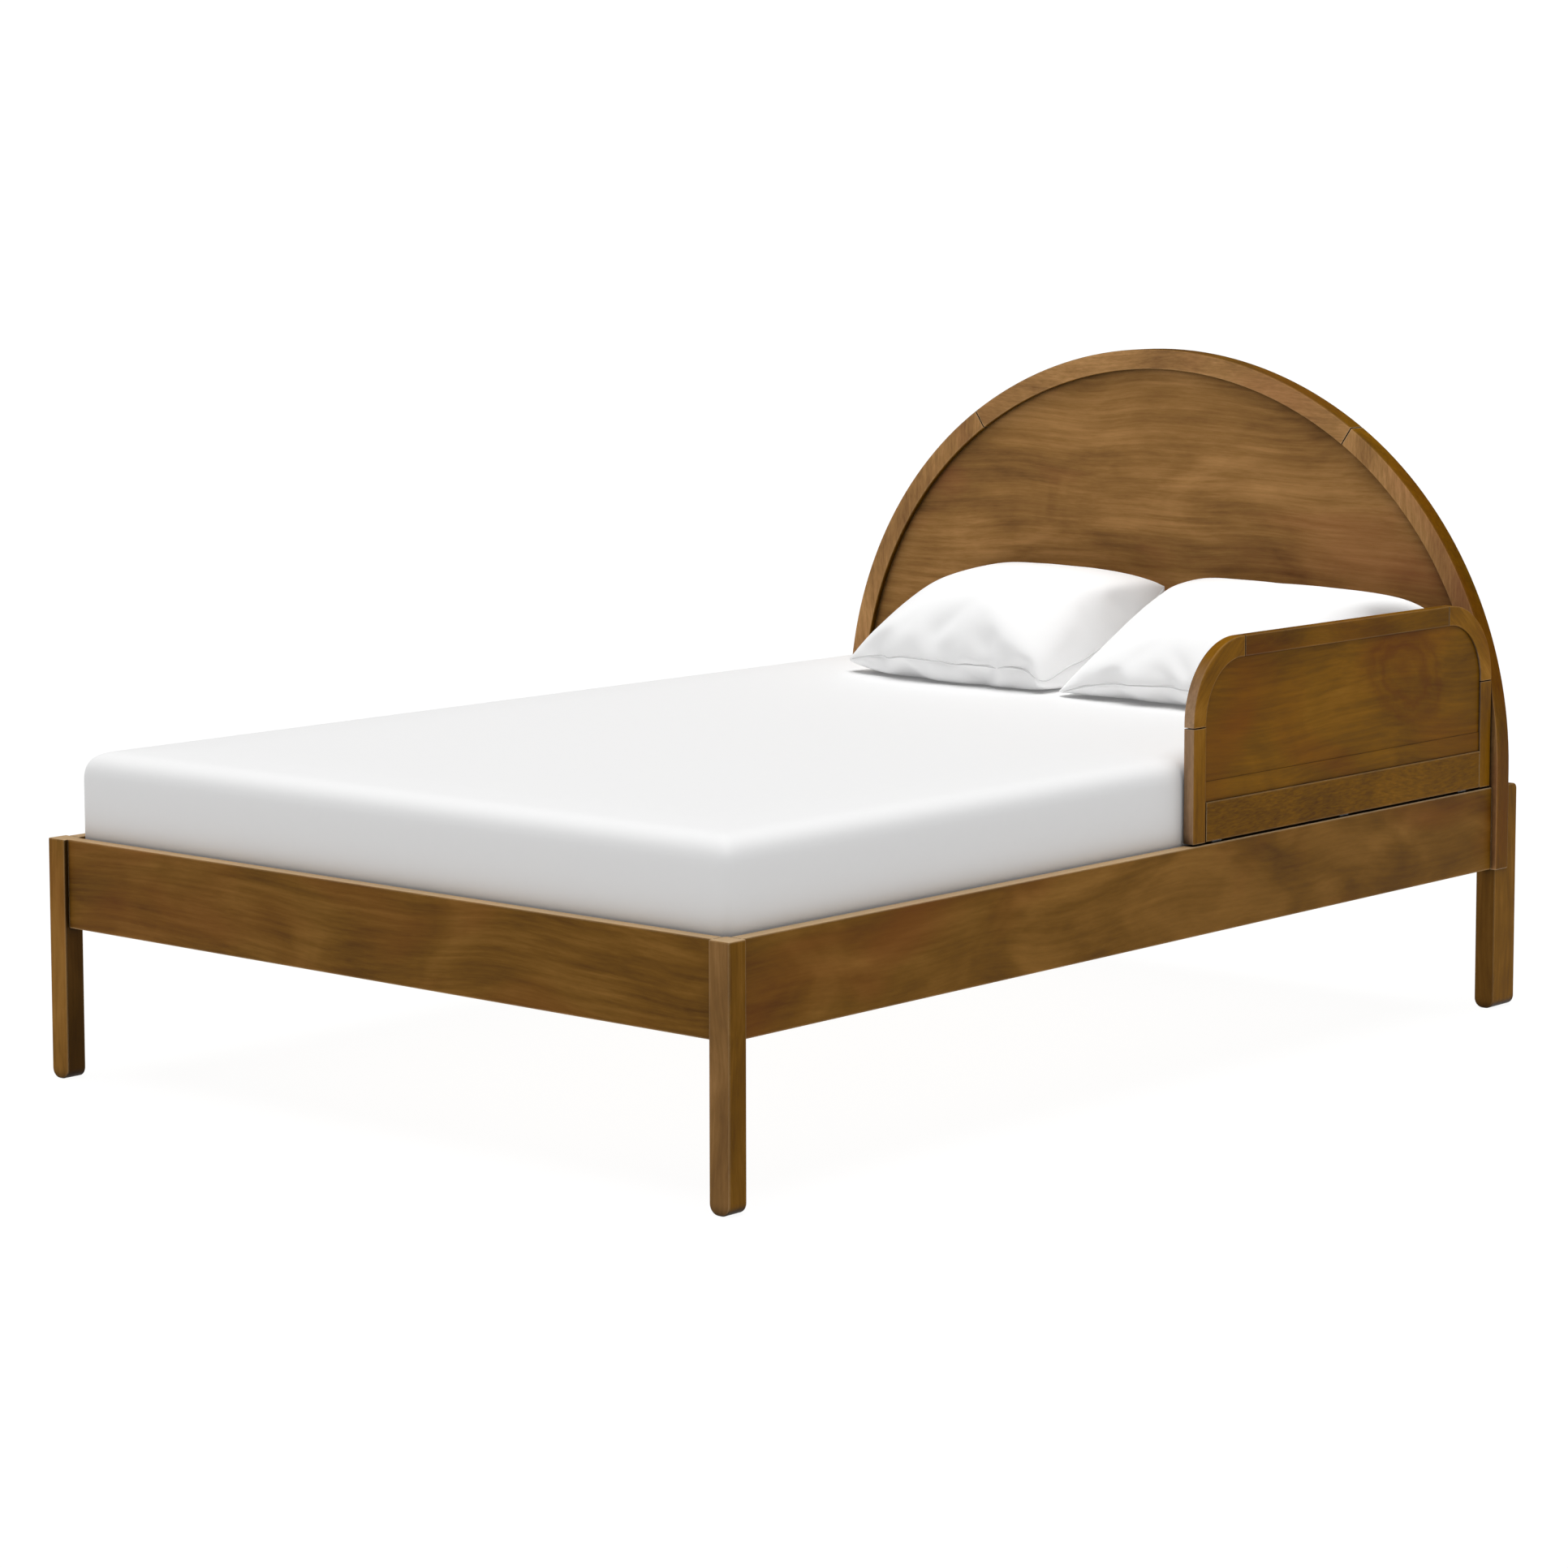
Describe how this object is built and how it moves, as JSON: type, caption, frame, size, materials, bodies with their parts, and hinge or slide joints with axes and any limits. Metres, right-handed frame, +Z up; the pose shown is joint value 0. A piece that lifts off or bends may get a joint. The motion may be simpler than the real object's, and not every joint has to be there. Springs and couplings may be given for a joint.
{
  "type": "platform bed",
  "caption": "Full-size low wooden bed with an arched panel headboard, slatted base, lift-off guard rail on one side, mattress and pillows.",
  "frame": {"origin": "on the floor, under the middle of the bed", "axes": "+Z up, +Y towards the headboard, +X towards the side that carries the guard rail"},
  "size_m": [1.454, 2.032, 1.1149],
  "materials": {
    "frame_walnut": "walnut stain under satin lacquer",
    "panel_walnut": "walnut veneer, stained, satin lacquer",
    "slat_pine": "planed softwood, unfinished",
    "dowel_beech": "fluted beech, unfinished",
    "zinc_steel": "bright zinc plate",
    "slat_webbing": "woven polyester webbing",
    "bed_cotton": "white cotton fitted sheet",
    "pillow_cotton": "white cotton percale"
  },
  "bodies": {
    "frame": {"foot_post_left": "frame_walnut", "foot_post_right": "frame_walnut", "head_post_left": "frame_walnut", "head_post_right": "frame_walnut", "side_rail_left": "frame_walnut", "side_rail_right": "frame_walnut", "foot_rail": "frame_walnut", "head_rail": "frame_walnut", "arch_leg_left": "frame_walnut", "arch_leg_right": "frame_walnut", "arch_crown": "frame_walnut", "headboard_panel": "panel_walnut", "slat_01": "slat_pine", "slat_02": "slat_pine", "slat_03": "slat_pine", "slat_04": "slat_pine", "slat_05": "slat_pine", "slat_06": "slat_pine", "slat_07": "slat_pine", "slat_08": "slat_pine", "slat_09": "slat_pine", "slat_10": "slat_pine", "slat_11": "slat_pine", "slat_12": "slat_pine", "slat_13": "slat_pine", "slat_14": "slat_pine", "slat_cleat_left": "slat_pine", "slat_cleat_right": "slat_pine", "centre_beam": "slat_pine", "rail_dowels": "dowel_beech", "arch_dowels": "dowel_beech", "rail_studs": "zinc_steel", "stud_washers": "zinc_steel", "stud_nuts": "zinc_steel", "headboard_bolts": "zinc_steel", "cleat_screws": "zinc_steel", "slat_screws": "zinc_steel", "beam_hanger_screws": "zinc_steel", "beam_hanger_foot": "zinc_steel", "beam_hanger_head": "zinc_steel", "slat_strap_left": "slat_webbing", "slat_strap_right": "slat_webbing"},
    "guard_rail": {"guard_stile_foot": "frame_walnut", "guard_stile_head": "frame_walnut", "guard_corner_foot": "frame_walnut", "guard_corner_head": "frame_walnut", "guard_top_rail": "frame_walnut", "guard_bottom_rail": "frame_walnut", "guard_panel": "panel_walnut", "guard_dowels": "dowel_beech", "guard_tongues": "zinc_steel", "guard_tongue_screws": "zinc_steel"},
    "mattress": {"mattress": "bed_cotton"},
    "pillow_left": {"pillow_left": "pillow_cotton"},
    "pillow_right": {"pillow_right": "pillow_cotton"}
  },
  "joints": [
    {"name": "guard_rail_lift", "type": "slide", "parent": "frame", "child": "guard_rail", "axis": [0, 0, 1], "range_m": [0, 0.12]},
    {"name": "mattress_lift", "type": "slide", "parent": "frame", "child": "mattress", "axis": [0, 0, 1], "range_m": [0, 0.15]},
    {"name": "pillow_left_lift", "type": "slide", "parent": "mattress", "child": "pillow_left", "axis": [0, 0, 1], "range_m": [0, 0.25]},
    {"name": "pillow_right_lift", "type": "slide", "parent": "mattress", "child": "pillow_right", "axis": [0, 0, 1], "range_m": [0, 0.25]}
  ]
}
